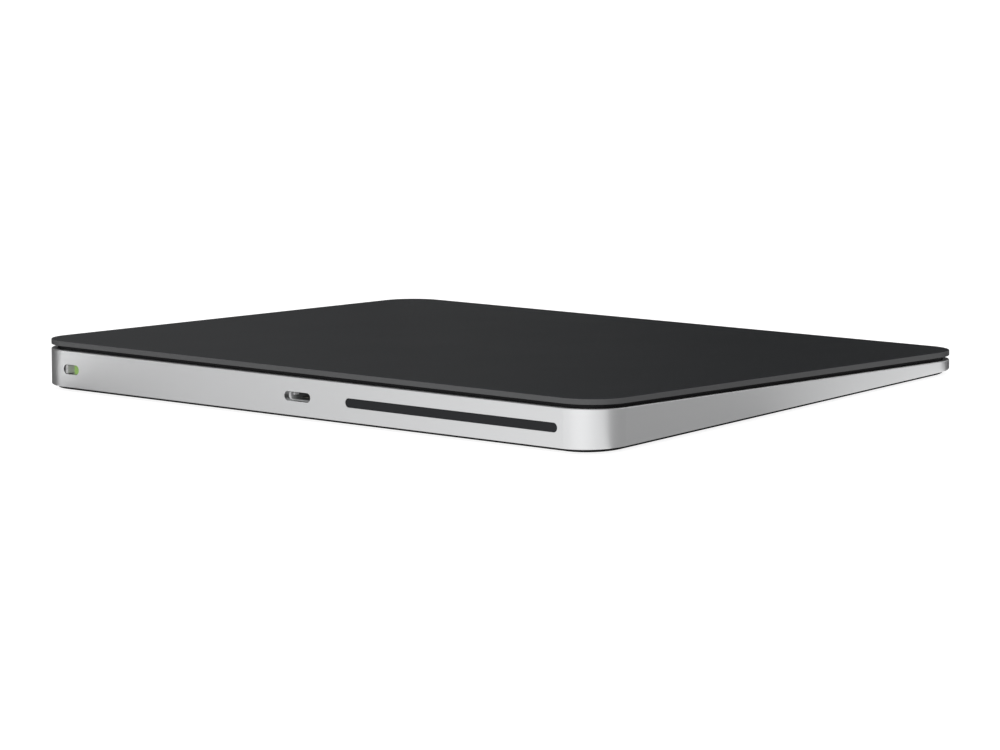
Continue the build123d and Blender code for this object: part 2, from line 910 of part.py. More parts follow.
with BuildPart() as board_connectors:
    with BuildSketch(Plane.XY.offset(board_top)):
        with Locations(*connector_places):
            Rectangle(connector_width, connector_depth)
    extrude(amount=connector_height)

board_connectors.part.label = "board_connectors"
export_step(board_connectors.part, "parts/board_connectors.step")


def rear_ribbon(x, inset, depth):
    """A ribbon from a unit on the rear wall, with a step down to the rear connectors"""
    start = side_point(half_depth - inset - flex_end_gap, depth)
    points = [
        start,
        (start[0] - flex_step, start[1]),
        (start[0] - 2 * flex_step, flex_level),
        (rear_row_y - flex_overlap, flex_level),
    ]
    return ribbon(Plane.YZ.offset(x), points, flex_width)


antenna_flex = rear_ribbon(antenna_flex_x, antenna_back, feature_depth - flex_step)
antenna_flex.label = "antenna_flex"
export_step(antenna_flex, "parts/antenna_flex.step")

port_flex = rear_ribbon(port_flex_x, shell_back + insulator_thickness, feature_depth - small_corner)
port_flex.label = "port_flex"
export_step(port_flex, "parts/port_flex.step")

switch_flex = rear_ribbon(switch_flex_x, guide_back, feature_depth - small_corner)
switch_flex.label = "switch_flex"
export_step(switch_flex, "parts/switch_flex.step")

battery_flex_level = cell_board_top + flex_thickness / 2
battery_flex_points = [
    (cell_board_y - flex_overlap / 2, battery_flex_level),
    (board_front - cell_board_gap / 2, battery_flex_level),
    (board_front - cell_board_gap / 4, flex_level),
    (front_row_y + flex_overlap, flex_level),
]
with BuildPart() as battery_flexes:
    for side in (-1, 1):
        add(ribbon(Plane.YZ.offset(side * cell_x), battery_flex_points, flex_width))

battery_flexes.part.label = "battery_flexes"
export_step(battery_flexes.part, "parts/battery_flexes.step")

haptic_end = haptic_back + haptic_length / 2
haptic_flex_depth = deck_depth - flex_thickness / 2
haptic_flex = ribbon(
    Plane.YZ.offset(haptic_flex_x),
    [
        side_point(haptic_end - flex_step, haptic_flex_depth),
        side_point(haptic_end + flex_step, haptic_flex_depth),
        (board_front - flex_step, flex_level),
        (front_row_y + flex_overlap, flex_level),
    ],
    flex_width,
)
haptic_flex.label = "haptic_flex"
export_step(haptic_flex, "parts/haptic_flex.step")

# The sensor's ribbon makes a loose U, so that the surface can move
sensor_flex_depth = carrier_top + touch_chip_thickness + flex_thickness / 2
sensor_flex_back = side_point(board_y + sensor_flex_turn, sensor_flex_depth)
sensor_flex = ribbon(
    Plane.YZ.offset(sensor_flex_x),
    [
        side_point(chip_window_back - touch_chip_size / 2, sensor_flex_depth),
        sensor_flex_back,
        (sensor_flex_back[0], flex_level),
        (front_row_y - flex_overlap, flex_level),
    ],
    flex_width,
)
sensor_flex.label = "sensor_flex"
export_step(sensor_flex, "parts/sensor_flex.step")

# Bottom cover in a shallow recess under the tray, held by a ring of tape
cover_edge = 0.2
tape_ring_width = 6
foot_radius = 5
foot_seat = 0.4
foot_side_inset = 13
foot_end_inset = 12
foot_edge = 0.15

footprint_y = plan_y(underside)
footprint_depth = surface_depth / cos(tilt)
cover_width = surface_width - 2 * cover_inset
cover_depth = footprint_depth - 2 * cover_inset
cover_corner = corner_radius - cover_inset
cover_top = cover_ceiling - adhesive_thickness
foot_x = half_width - foot_side_inset
foot_reach = footprint_depth / 2 - foot_end_inset

with BuildPart() as cover_adhesive:
    with BuildSketch(Plane.XY.offset(cover_top)):
        with Locations((0, footprint_y)):
            RectangleRounded(cover_width, cover_depth, cover_corner)
            RectangleRounded(
                cover_width - 2 * tape_ring_width,
                cover_depth - 2 * tape_ring_width,
                small_corner,
                mode=Mode.SUBTRACT,
            )
    extrude(amount=adhesive_thickness)

cover_adhesive.part.label = "cover_adhesive"
export_step(cover_adhesive.part, "parts/cover_adhesive.step")

with BuildPart() as bottom_cover:
    with BuildSketch(Plane.XY.offset(foot_height)):
        with Locations((0, footprint_y)):
            RectangleRounded(cover_width, cover_depth, cover_corner)
    extrude(amount=cover_top - foot_height)
    fillet(bottom_cover.faces().sort_by(Axis.Z)[0].edges(), cover_edge)
    with BuildSketch(Plane.XY.offset(foot_height)):
        with Locations((0, footprint_y)):
            with GridLocations(2 * foot_x, 2 * foot_reach, 2, 2):
                Circle(foot_radius + fit_gap)
    extrude(amount=foot_seat, mode=Mode.SUBTRACT)

bottom_cover.part.label = "bottom_cover"
export_step(bottom_cover.part, "parts/bottom_cover.step")

for corner, (side, end) in corners.items():
    with BuildPart() as foot:
        with BuildSketch(Plane.XY):
            with Locations((side * foot_x, footprint_y + end * foot_reach)):
                Circle(foot_radius)
        extrude(amount=foot_height + foot_seat)
        fillet(foot.faces().sort_by(Axis.Z)[0].edges(), foot_edge)
    foot.part.label = "foot_" + corner
    export_step(foot.part, "parts/foot_" + corner + ".step")

# Housing: one piece of aluminium. Its walls stand square to the glass, and its floor is level.
edge_break = 0.15
tray_corner = 0.5
clamp_post_size = (clamp_length, flexure_width)
ear_post_size = (ear_width, bracket_length)
socket_rest_size = (socket_rest_width, bracket_length)
guide_post_size = (guide_width - guide_screw_inset, guide_length)
board_post_size = (board_post, board_post)

with BuildPart() as tray_space:
    with BuildSketch(pad.offset(overrun - rim_depth)):
        RectangleRounded(surface_width - 2 * wall, surface_depth - 2 * wall, corner_radius - wall)
    extrude(amount=-rear_height - overrun)
    split(bisect_by=floor_plane, keep=Keep.TOP)
    fillet(tray_space.faces().sort_by(Axis.Z)[0].edges(), tray_corner)

with BuildPart() as housing:
    with BuildSketch(pad.offset(-rim_depth)):
        RectangleRounded(surface_width, surface_depth, corner_radius)
    extrude(amount=-rear_height)
    split(bisect_by=Plane.XY.offset(underside), keep=Keep.TOP)
    rim = housing.faces().sort_by(pad_axis)[-1]
    foot_face = housing.faces().sort_by(Axis.Z)[0]
    chamfer(rim.edges() + foot_face.edges(), edge_break)
    add(tray_space.part, mode=Mode.SUBTRACT)
    with BuildSketch(Plane.XY.offset(underside)):
        with Locations((0, footprint_y)):
            RectangleRounded(
                cover_width + 2 * fit_gap, cover_depth + 2 * fit_gap, cover_corner + fit_gap
            )
    extrude(amount=cover_recess, mode=Mode.SUBTRACT)
    with BuildSketch(rear.offset(-wall - overrun)):
        SlotOverall(port_width, port_height)
        with Locations((window_x, 0)):
            SlotOverall(window_width, window_height)
        with Locations((slot_x, 0)):
            SlotOverall(slot_width, slot_height)
    extrude(amount=wall + 2 * overrun, mode=Mode.SUBTRACT)
    add(columns(pad.offset(-flexure_base), clamp_places, clamp_post_size))
    add(columns(pad.offset(-ear_depth), ear_places, ear_post_size))
    add(columns(pad.offset(-ear_depth), [(0, ear_back)], socket_rest_size))
    add(
        columns(
            pad.offset(-feature_depth - guide_height / 2),
            [(slot_x, guide_middle)],
            guide_post_size,
        )
    )
    add(columns(Plane.XY.offset(board_base), board_screw_places, board_post_size))
    with Locations(*pad_spots(flexure_base, clamp_screw_places)):
        Hole(clamp_screw_radius + thread_gap, clamp_thread + slide_gap)
    with Locations(*pad_spots(ear_depth, ear_places)):
        Hole(small_screw_radius + thread_gap, port_thread + slide_gap)
    with Locations(*pad_spots(feature_depth + guide_height / 2, guide_screw_places)):
        Hole(small_screw_radius + thread_gap, guide_thread + slide_gap)
    with Locations(*[Pos(x, y, board_base) for x, y in board_screw_places]):
        Hole(small_screw_radius + thread_gap, board_thread + slide_gap)
    for place in haptic_screw_places:
        with Locations(*pad_spots(floor_depth(place[1]), [place])):
            Hole(small_screw_radius + thread_gap, haptic_thread + thread_gap)

housing.part.label = "housing"
export_step(housing.part, "parts/housing.step")
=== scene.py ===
# %% [markdown]
# # A wireless trackpad, seen from behind
#
# The object is a thin wedge: a dark matt glass plate on a bead-blasted aluminium tray. The packed
# parts hold its real shape, so this lesson keeps nearly all of them and gives each one its finish.
# Everything is in metres and in one frame: X to the user's right, Y to the rear wall, Z up.

import json
import math

import bmesh
import bpy
from mathutils import Matrix, Vector
from mathutils.bvhtree import BVHTree


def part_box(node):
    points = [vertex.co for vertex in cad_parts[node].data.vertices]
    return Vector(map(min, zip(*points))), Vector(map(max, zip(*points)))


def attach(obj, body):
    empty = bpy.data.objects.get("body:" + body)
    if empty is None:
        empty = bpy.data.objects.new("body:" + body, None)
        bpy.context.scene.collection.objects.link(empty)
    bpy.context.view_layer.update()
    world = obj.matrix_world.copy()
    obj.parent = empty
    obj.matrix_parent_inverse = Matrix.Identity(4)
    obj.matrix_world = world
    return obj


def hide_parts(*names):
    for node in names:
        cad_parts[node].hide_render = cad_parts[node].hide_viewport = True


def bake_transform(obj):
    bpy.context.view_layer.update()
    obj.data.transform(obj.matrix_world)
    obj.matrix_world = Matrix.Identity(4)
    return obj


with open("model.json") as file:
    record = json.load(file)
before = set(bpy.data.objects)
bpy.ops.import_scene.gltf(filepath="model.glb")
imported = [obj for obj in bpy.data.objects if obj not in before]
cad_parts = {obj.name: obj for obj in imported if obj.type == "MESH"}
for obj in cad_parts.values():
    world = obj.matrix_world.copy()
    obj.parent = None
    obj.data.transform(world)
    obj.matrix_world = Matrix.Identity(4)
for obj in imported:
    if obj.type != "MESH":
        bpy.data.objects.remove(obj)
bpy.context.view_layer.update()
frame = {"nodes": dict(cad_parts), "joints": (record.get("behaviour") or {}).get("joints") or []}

# %% [markdown]
# ## The glass plane
#
# The touch surface leans towards the user, and the walls stand square to it. The camera and the
# patterns on the glass are easier to place in the plane of the glass than in the plane of the
# desk. The press joint moves along the glass's normal, so the frame already says how it leans.

# %% Find the plane of the touch surface
MM = 0.001
across = Vector((1, 0, 0))
upwards = Vector((0, 0, 1))
press_joint = next(joint for joint in frame["joints"] if joint["name"] == "surface_press")
glass_normal = Vector(press_joint["axis"]).normalized()
glass_rearward = glass_normal.cross(across)
glass_low, glass_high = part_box("glass_surface")
glass_level = max(v.co.dot(glass_normal) for v in frame["nodes"]["glass_surface"].data.vertices)
glass_middle = (glass_low + glass_high) / 2
glass_middle += glass_normal * (glass_level - glass_middle.dot(glass_normal))
print("glass middle", [round(x, 5) for x in glass_middle])
print("glass normal", [round(x, 4) for x in glass_normal])


def on_glass(right, rearward, up=0.0):
    """A point of the frame from its place on the touch surface, in metres"""
    return glass_middle + across * right + glass_rearward * rearward + glass_normal * up


# %% [markdown]
# ## The camera
#
# The photograph was taken with a long lens, low behind the left rear corner. The angles, the
# distance and the focal length below come from fitting a pinhole camera to the edges of the
# glass and the aluminium. They're given in the plane of the glass.

# %% Place the camera
IMAGE_WIDTH = 1000
SENSOR_WIDTH = 36
FOCAL_PIXELS = 4076.5
CAMERA_AZIMUTH = math.radians(-43.02)
CAMERA_ELEVATION = math.radians(6.916)
CAMERA_ROLL = math.radians(-0.167)
CAMERA_DISTANCE = 0.80107
AIM_RIGHT, AIM_REARWARD = -0.03849, 0.03929

backward = (
    across * (math.sin(CAMERA_AZIMUTH) * math.cos(CAMERA_ELEVATION))
    + glass_rearward * (math.cos(CAMERA_AZIMUTH) * math.cos(CAMERA_ELEVATION))
    + glass_normal * math.sin(CAMERA_ELEVATION)
)
level_right = (-backward).cross(glass_normal).normalized()
level_up = level_right.cross(-backward)
camera_right = level_right * math.cos(CAMERA_ROLL) + level_up * math.sin(CAMERA_ROLL)
camera_up = level_up * math.cos(CAMERA_ROLL) - level_right * math.sin(CAMERA_ROLL)

camera_data = bpy.data.cameras.new("camera")
camera_data.sensor_width = SENSOR_WIDTH
camera_data.lens = FOCAL_PIXELS / IMAGE_WIDTH * SENSOR_WIDTH
camera = bpy.data.objects.new("camera", camera_data)
bpy.context.scene.collection.objects.link(camera)
turn = Matrix((camera_right, camera_up, backward)).transposed().to_4x4()
camera.matrix_world = (
    Matrix.Translation(on_glass(AIM_RIGHT, AIM_REARWARD) + backward * CAMERA_DISTANCE) @ turn
)
bpy.context.scene.camera = camera
bpy.context.scene.view_settings.view_transform = "Standard"
print("lens", round(camera_data.lens, 1), "camera at", [round(x, 3) for x in camera.location])

# %% [markdown]
# ## Shader maths in words
#
# A finish is mostly sums on textures. Wrapping a socket in a small class lets those sums be
# written as Python: `grain * 0.2 + 0.5` makes two Math nodes. One method makes any other node,
# with its settings first and its sockets after.

# %% Wrap sockets and node trees


class Wire:
    """An output socket that can be added to and scaled."""

    def __init__(self, finish, socket):
        self.finish = finish
        self.socket = socket

    def math(self, operation, *others, clamp=False):
        settings = {"operation": operation, "use_clamp": clamp}
        return self.finish.node("ShaderNodeMath", settings, dict(enumerate((self, *others))))

    def __add__(self, other):
        return self.math("ADD", other)

    def __sub__(self, other):
        return self.math("SUBTRACT", other)

    def __rsub__(self, other):
        return self.math("MULTIPLY", -1).math("ADD", other)

    def __mul__(self, other):
        return self.math("MULTIPLY", other)

    def __truediv__(self, other):
        return self.math("DIVIDE", other)

    def between(self, low, high):
        """0 below low, 1 above high, and a straight line between"""
        return ((self - low) / (high - low)).math("ADD", 0, clamp=True)

    __radd__ = __add__


class Finish:
    """A node tree, of a material or of the world, with one method that makes any node."""

    def __init__(self, tree):
        self.tree = tree
        self.tree.nodes.clear()

    def plain_node(self, kind, settings=None, sockets=None):
        made = self.tree.nodes.new(kind)
        for name, value in (settings or {}).items():
            if name == "stops":
                self.set_stops(made.color_ramp, value)
            else:
                setattr(made, name, value)
        for name, value in (sockets or {}).items():
            if isinstance(value, Wire):
                self.tree.links.new(value.socket, made.inputs[name])
            else:
                made.inputs[name].default_value = value
        return made

    def node(self, kind, settings=None, sockets=None, output=0):
        return Wire(self, self.plain_node(kind, settings, sockets).outputs[output])

    @staticmethod
    def set_stops(ramp, stops):
        while len(ramp.elements) < len(stops):
            ramp.elements.new(1)
        for element, (place, colour) in zip(ramp.elements, stops):
            element.position = place
            element.color = colour

    def part_of(self, vector, axis):
        """One component of a vector"""
        return self.node("ShaderNodeSeparateXYZ", {}, {0: vector}, output="XYZ".index(axis))


def grey(level):
    """A neutral colour of one linear level"""
    return (level, level, level, 1)


def opaque(red, green, blue):
    """A linear colour with full alpha"""
    return (red, green, blue, 1)


def darker(colour, share):
    """The same hue at a share of its brightness"""
    return opaque(*(share * level for level in colour[:3]))


print("sockets can be summed")

# %% [markdown]
# ## Shared textures
#
# Every finish starts from the object's own coordinates in metres, so a texture's size can be
# said in millimetres. Two helpers give noise of a stated grain size and a bump that follows it.

# %% Helpers for surface textures


class Surface(Finish):
    """A material built round one principled shader."""

    def __init__(self, name):
        self.material = bpy.data.materials.new(name)
        self.material.use_nodes = True
        super().__init__(self.material.node_tree)
        self.place = self.node("ShaderNodeTexCoord", output="Object")

    def noise(self, grain, detail=2.0, roughness=0.5, place=None):
        """Soft random values about 0.5, whose blotches are about grain metres wide"""
        sockets = {
            "Vector": place or self.place,
            "Scale": 1 / grain,
            "Detail": detail,
            "Roughness": roughness,
        }
        return self.node("ShaderNodeTexNoise", {}, sockets)

    def mix(self, share, first, second):
        """A colour between two, by a share that may vary over the surface"""
        sockets = {0: share, 6: first, 7: second}
        return self.node("ShaderNodeMix", {"data_type": "RGBA"}, sockets, output=2)

    def bump(self, height, depth, strength):
        """Relief of a height field, with its depth in metres"""
        sockets = {"Height": height, "Distance": depth, "Strength": strength}
        return self.node("ShaderNodeBump", {}, sockets)

    def along(self, vector, direction):
        """How far a vector goes along a direction"""
        sockets = {0: vector, 1: tuple(direction)}
        settings = {"operation": "DOT_PRODUCT"}
        return self.node("ShaderNodeVectorMath", settings, sockets, output="Value")

    def shade(self, **sockets):
        """Closes the material with its shader: an underscore stands for a space in a name"""
        named = {name.replace("_", " "): value for name, value in sockets.items()}
        shader = self.node("ShaderNodeBsdfPrincipled", {}, named)
        self.plain_node("ShaderNodeOutputMaterial", {}, {"Surface": shader})
        return self.material


print("noise, mix, bump and shade are ready")

# %% [markdown]
# ## Touch glass
#
# The plate is etched to a fine matt on top, so a fingertip slides, and it's dark because its
# lower face is printed. Its ground edge scatters more light and reads as a lighter grey band.
# One material covers both, because the surface normal says which face is which. The etching is
# a fine noise, and a broad one stands for where fingers have wiped.

# %% Matt glass
GLASS_TOP_COLOUR = opaque(0.0185, 0.0198, 0.0222)
GLASS_EDGE_COLOUR = opaque(0.085, 0.086, 0.088)
EDGE_TO_TOP = (0.55, 0.95)
ETCH_GRAIN = 0.35 * MM
WIPE_GRAIN = 30 * MM


def touch_glass():
    surface = Surface("touch_glass")
    normal = surface.node("ShaderNodeNewGeometry", output="Normal")
    up_share = surface.along(normal, glass_normal)
    edge = 1 - up_share.between(*EDGE_TO_TOP)
    etch = surface.noise(ETCH_GRAIN, detail=3)
    wipe = surface.noise(WIPE_GRAIN, detail=3, roughness=0.6)
    base = surface.mix(edge, GLASS_TOP_COLOUR, GLASS_EDGE_COLOUR)
    return surface.shade(
        Base_Color=base,
        Roughness=0.34 + etch * 0.06 + wipe * 0.04,
        Specular_IOR_Level=0.2,
        Normal=surface.bump(etch, 0.004 * MM, 0.4),
    )


# %% [markdown]
# ## Aluminium
#
# The tray is bead-blasted and then anodised in its natural silver. Blasting leaves tiny pits of
# one or two tenths of a millimetre, which spread reflections softly. A second, broad noise
# changes the colour and the roughness slightly along the walls.

# %% Blasted aluminium
ALUMINIUM_COLOUR = opaque(0.625, 0.635, 0.65)
PIT_COLOUR = grey(0.6)
PIT_GRAIN = 0.16 * MM
SWEEP_GRAIN = 12 * MM


def blasted_aluminium():
    surface = Surface("blasted_aluminium")
    pits = surface.noise(PIT_GRAIN, roughness=0.6)
    sweep = surface.noise(SWEEP_GRAIN)
    return surface.shade(
        Base_Color=surface.mix(pits * 0.5 + sweep * 0.2, PIT_COLOUR, ALUMINIUM_COLOUR),
        Metallic=1.0,
        Roughness=0.33 + pits * 0.08 + sweep * 0.02,
        Normal=surface.bump(pits, 0.012 * MM, 0.35),
    )


# %% [markdown]
# ## Plastics and rubber
#
# Moulded plastic has a fine spark-eroded texture, and the rubber feet a deeper one with a
# greyer, drier colour. Both are a noise in the bump, and a fainter copy of it in the roughness.
# A noise with blotches 40 times as wide darkens the colour a little here and there.

# %% Moulded finishes


def moulded(name, colour, grain=0.3 * MM, relief=0.01 * MM, roughness=0.45, specular=0.4):
    surface = Surface(name)
    texture = surface.noise(grain, detail=3, roughness=0.6)
    blotches = surface.noise(grain * 40)
    return surface.shade(
        Base_Color=surface.mix(blotches, darker(colour, 0.8), colour),
        Roughness=texture * 0.12 + (roughness - 0.06),
        Specular_IOR_Level=specular,
        Normal=surface.bump(texture, relief, 0.5),
    )


# %% [markdown]
# ## Metals inside
#
# Rolled steel shows a faint grain along one direction, so its noise is stretched by a Mapping
# node. Contacts are plated, and the coils are copper under clear enamel. The socket's shell keeps
# its own colour at its mouth alone: deeper in, it mixes towards a darker colour by its depth,
# which is painted shade inside the socket.

# %% Rolled and plated metals


def rolled_metal(
    name,
    colour,
    roughness=0.3,
    stretch=(1, 12, 12),
    grain=2 * MM,
    metallic=1.0,
    shaded_inside=None,
):
    surface = Surface(name)
    mapped = surface.node("ShaderNodeMapping", {}, {"Vector": surface.place, "Scale": stretch})
    streaks = surface.noise(grain, detail=4, roughness=0.6, place=mapped)
    base = surface.mix(streaks, darker(colour, 0.82), colour)
    # painted shade: deeper in, the colour mixes towards a darker one by the depth along Y
    if shaded_inside:
        deep, mouth, shade_colour = shaded_inside
        lip = surface.part_of(surface.place, "Y").between(deep, mouth)
        base = surface.mix(lip, shade_colour, base)
    return surface.shade(
        Base_Color=base,
        Metallic=metallic,
        Roughness=streaks * 0.18 + (roughness - 0.09),
        Normal=surface.bump(streaks, 0.006 * MM, 0.3),
    )


# %% [markdown]
# ## Boards, tapes and ribbons
#
# A circuit board's mask is glossy over copper tracks, which show as a lighter pattern of
# straight runs. A ribbon cable shows its parallel tracks. Both patterns follow from a wave or a
# brick texture at a real pitch.

# %% Circuit finishes
MASK_COLOURS = opaque(0.004, 0.02, 0.016), opaque(0.02, 0.07, 0.05)
POLYIMIDE_COLOURS = opaque(0.30, 0.12, 0.02), opaque(0.55, 0.27, 0.06)
FOIL_COLOURS = grey(0.05), grey(0.09)
TRACK_LENGTH = 2.1 * MM
TRACK_PITCH = 0.9 * MM
TRACK_GAP = 0.12 * MM
RIBBON_WAVE = 1.8 * MM


def circuit_board():
    surface = Surface("circuit_board")
    sockets = {
        "Vector": surface.place,
        "Color1": grey(0.0),
        "Color2": grey(1.0),
        "Mortar": grey(0.35),
        "Scale": 1.0,
        "Mortar Size": TRACK_GAP,
        "Brick Width": TRACK_LENGTH,
        "Row Height": TRACK_PITCH,
    }
    tracks = surface.node("ShaderNodeTexBrick", {}, sockets)
    mask = surface.noise(4 * MM, detail=3)
    track_share = surface.node("ShaderNodeRGBToBW", {}, {0: tracks}) * 0.5
    return surface.shade(
        Base_Color=surface.mix(track_share + mask * 0.2, *MASK_COLOURS),
        Roughness=0.28 + mask * 0.1,
        Coat_Weight=0.3,
        Normal=surface.bump(track_share, 0.02 * MM, 0.4),
    )


def ribbon_cable():
    surface = Surface("ribbon_cable")
    sockets = {"Vector": surface.place, "Scale": 1 / RIBBON_WAVE, "Distortion": 0.0}
    tracks = surface.node("ShaderNodeTexWave", {"bands_direction": "X"}, sockets, output="Fac")
    speckle = surface.noise(0.6 * MM)
    return surface.shade(
        Base_Color=surface.mix(tracks * 0.6 + speckle * 0.2, *POLYIMIDE_COLOURS),
        Roughness=0.3 + speckle * 0.15,
        Normal=surface.bump(tracks, 0.02 * MM, 0.4),
    )


def battery_foil():
    surface = Surface("battery_foil")
    creases = surface.noise(6 * MM, detail=5, roughness=0.65)
    fine = surface.noise(0.8 * MM)
    return surface.shade(
        Base_Color=surface.mix(creases, *FOIL_COLOURS),
        Metallic=0.4,
        Roughness=0.35 + fine * 0.15,
        Normal=surface.bump(creases, 0.08 * MM, 0.4),
    )


# %% [markdown]
# ## The power switch's green
#
# The patch beside the finger nub is printed on the sliding plate. It's a clear grass green, a
# little uneven where the ink is thin. A faint glow keeps it bright in the shade of its slot.

# %% Green paint
THIN_INK = opaque(0.27, 0.46, 0.12)
FULL_INK = opaque(0.36, 0.58, 0.17)
PAINTED_GLOW = 0.12


def green_paint():
    surface = Surface("green_paint")
    ink = surface.noise(0.4 * MM)
    return surface.shade(
        Base_Color=surface.mix(ink, THIN_INK, FULL_INK),
        Roughness=0.4 + ink * 0.1,
        # painted light: a faint glow keeps the green bright in the shade of its slot
        Emission_Color=FULL_INK,
        Emission_Strength=PAINTED_GLOW,
        Normal=surface.bump(ink, 0.008 * MM, 0.3),
    )


# %% [markdown]
# ## Dressing the parts
#
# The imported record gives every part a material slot. One finish stands for each slot, so a part
# takes the finish that its slot names, and no part is left with the flat colour it came with.
# Seven parts take a finish of their own instead: what shows through the openings and in the gap
# under the glass is darker or brighter than other parts of its slot.

# %% Give every part its finish
finishes = {
    "glass": touch_glass(),
    "aluminium": blasted_aluminium(),
    "black_plastic": moulded(
        "black_plastic", opaque(0.012, 0.0127, 0.0148), relief=0.006 * MM, specular=0.16
    ),
    "foot_rubber": moulded(
        "foot_rubber",
        opaque(0.05, 0.05, 0.052),
        grain=0.2 * MM,
        relief=0.02 * MM,
        roughness=0.75,
        specular=0.25,
    ),
    "steel": rolled_metal("rolled_steel", opaque(0.56, 0.56, 0.57)),
    "screws": rolled_metal(
        "screw_steel",
        opaque(0.42, 0.41, 0.4),
        roughness=0.35,
        stretch=(6, 6, 1),
        grain=0.6 * MM,
    ),
    "slider_grey": moulded(
        "slider_grey",
        opaque(0.5, 0.5, 0.5),
        grain=0.2 * MM,
        relief=0.006 * MM,
        roughness=0.4,
        specular=0.5,
    ),
    "green_paint": green_paint(),
    "circuit_board": circuit_board(),
    "chips": moulded("chip_resin", opaque(0.018, 0.018, 0.02), grain=0.2 * MM, roughness=0.5),
    "contacts": rolled_metal("contact_plating", opaque(0.58, 0.55, 0.5)),
    "copper": rolled_metal(
        "enamelled_copper", opaque(0.72, 0.3, 0.14), stretch=(1, 10, 1), grain=1 * MM
    ),
    "battery_foil": battery_foil(),
    "tape": moulded("tape", grey(0.03), grain=0.4 * MM, roughness=0.6, specular=0.3),
    "ribbon": ribbon_cable(),
}
# Painted shade inside the socket: the shell keeps its own colour half a millimetre in and is fully
# darkened two millimetres in.
SOCKET_FULL_SHADE_DEPTH = 2.0 * MM
SOCKET_SHADE_START_DEPTH = 0.5 * MM
SOCKET_SHADE_COLOUR = opaque(0.19, 0.195, 0.195)
# Near black for the carrier and the sensor sheet, darker than their slots, where the gap under the
# glass shows them
NEAR_BLACK = opaque(0.006, 0.006, 0.007)

socket_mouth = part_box("port_shell")[1].y
shaded_inside = (
    socket_mouth - SOCKET_FULL_SHADE_DEPTH,
    socket_mouth - SOCKET_SHADE_START_DEPTH,
    SOCKET_SHADE_COLOUR,
)
special_finishes = {
    "port_shell": rolled_metal(
        "socket_steel",
        opaque(0.62, 0.625, 0.63),
        roughness=0.45,
        metallic=0.35,
        shaded_inside=shaded_inside,
    ),
    "port_latches": rolled_metal("latch_steel", grey(0.95), roughness=0.5, metallic=0.25),
    "port_insulator": moulded("socket_plastic", opaque(0.018, 0.02, 0.019), specular=0.3),
    "switch_guide": moulded("guide_plastic", opaque(0.3, 0.3, 0.305), specular=0.3),
    "carrier_plate": moulded("black_coating", NEAR_BLACK, specular=0.15),
    "sensor_sheet": moulded("sensor_film", NEAR_BLACK, specular=0.15),
    "bottom_cover": moulded("cover_plastic", opaque(0.005, 0.005, 0.0055), specular=0.08),
}
slot_names = {part: node.data.materials[0].name for part, node in frame["nodes"].items()}
for part, node in frame["nodes"].items():
    node.data.materials[0] = special_finishes.get(part, finishes[slot_names[part]])
print("dressed", len(frame["nodes"]), "parts with", len(finishes), "finishes")

# %% [markdown]
# ## Growing repeated shapes
#
# A coil is one loop of wire repeated, and a circuit board carries hundreds of small parts of one
# kind. Geometry Nodes suit both: a tree makes the shape once and puts copies of it on points. The
# tree's sizes are named inputs, the copies are made real, and the result becomes a plain mesh
# that rides on its body.

# %% Helpers for Geometry Nodes
SOCKET_KINDS = {
    "number": "NodeSocketFloat",
    "count": "NodeSocketInt",
    "vector": "NodeSocketVector",
    "material": "NodeSocketMaterial",
}


class Growth(Finish):
    """A Geometry Nodes tree that starts from points and ends in real, dressed copies."""

    def __init__(self, name, **inputs):
        super().__init__(bpy.data.node_groups.new(name, "GeometryNodeTree"))
        sockets = self.tree.interface
        sockets.new_socket("Points", in_out="INPUT", socket_type="NodeSocketGeometry")
        for title, kind in inputs.items():
            sockets.new_socket(title, in_out="INPUT", socket_type=SOCKET_KINDS[kind])
        sockets.new_socket("Mesh", in_out="OUTPUT", socket_type="NodeSocketGeometry")
        self.entry = self.tree.nodes.new("NodeGroupInput")

    def given(self, title):
        """The named input, as a wire"""
        return Wire(self, self.entry.outputs[title])

    def copies(self, points, shape, **sockets):
        """The shape on every point"""
        sockets = {"Points": points, "Instance": shape, **sockets}
        return self.node("GeometryNodeInstanceOnPoints", {}, sockets)

    def close(self, copies):
        """Makes the copies real, gives them their material and ends the tree"""
        real = self.node("GeometryNodeRealizeInstances", {}, {"Geometry": copies})
        sockets = {"Geometry": real, "Material": self.given("material")}
        dressed = self.node("GeometryNodeSetMaterial", {}, sockets)
        self.plain_node("NodeGroupOutput", {}, {"Mesh": dressed})
        return self.tree


def grow(name, points, tree, body, slot, **values):
    """A piece that a tree grows on points, turned into a plain mesh on a body"""
    start = bpy.data.meshes.new(name)
    start.from_pydata(points, [], [])
    made = bpy.data.objects.new(name, start)
    bpy.context.scene.collection.objects.link(made)
    modifier = made.modifiers.new(name, "NODES")
    modifier.node_group = tree
    for item in tree.interface.items_tree:
        if item.name in values:
            modifier[item.identifier] = values[item.name]
    evaluated = made.evaluated_get(bpy.context.evaluated_depsgraph_get())
    grown = bpy.data.meshes.new_from_object(evaluated)
    grown.materials.clear()
    grown.materials.append(values["material"])
    grown.polygons.foreach_set("material_index", [0] * len(grown.polygons))
    made.modifiers.remove(modifier)
    made.data = grown
    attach(made, body)
    print(name, "on", len(points), "points,", len(grown.polygons), "faces")
    return made


# %% [markdown]
# ## Windings of the coils
#
# Three coils sit on the teeth of the magnet that shakes the surface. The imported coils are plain
# sleeves. Loops of enamelled wire lie on them, sunk in by half a radius, so the sleeves read as
# wound. The tree sweeps a small circle round a rounded rectangle and repeats it along a line.

# %% Tree of wound loops
COIL_COUNT = 3
COIL_GAP = 1.0 * MM
COIL_CORNER = 0.5 * MM
CORNER_STEPS = 3
WIRE_RADIUS = 0.11 * MM
WIRE_PITCH = 0.225 * MM
WIRE_SIDES = 6


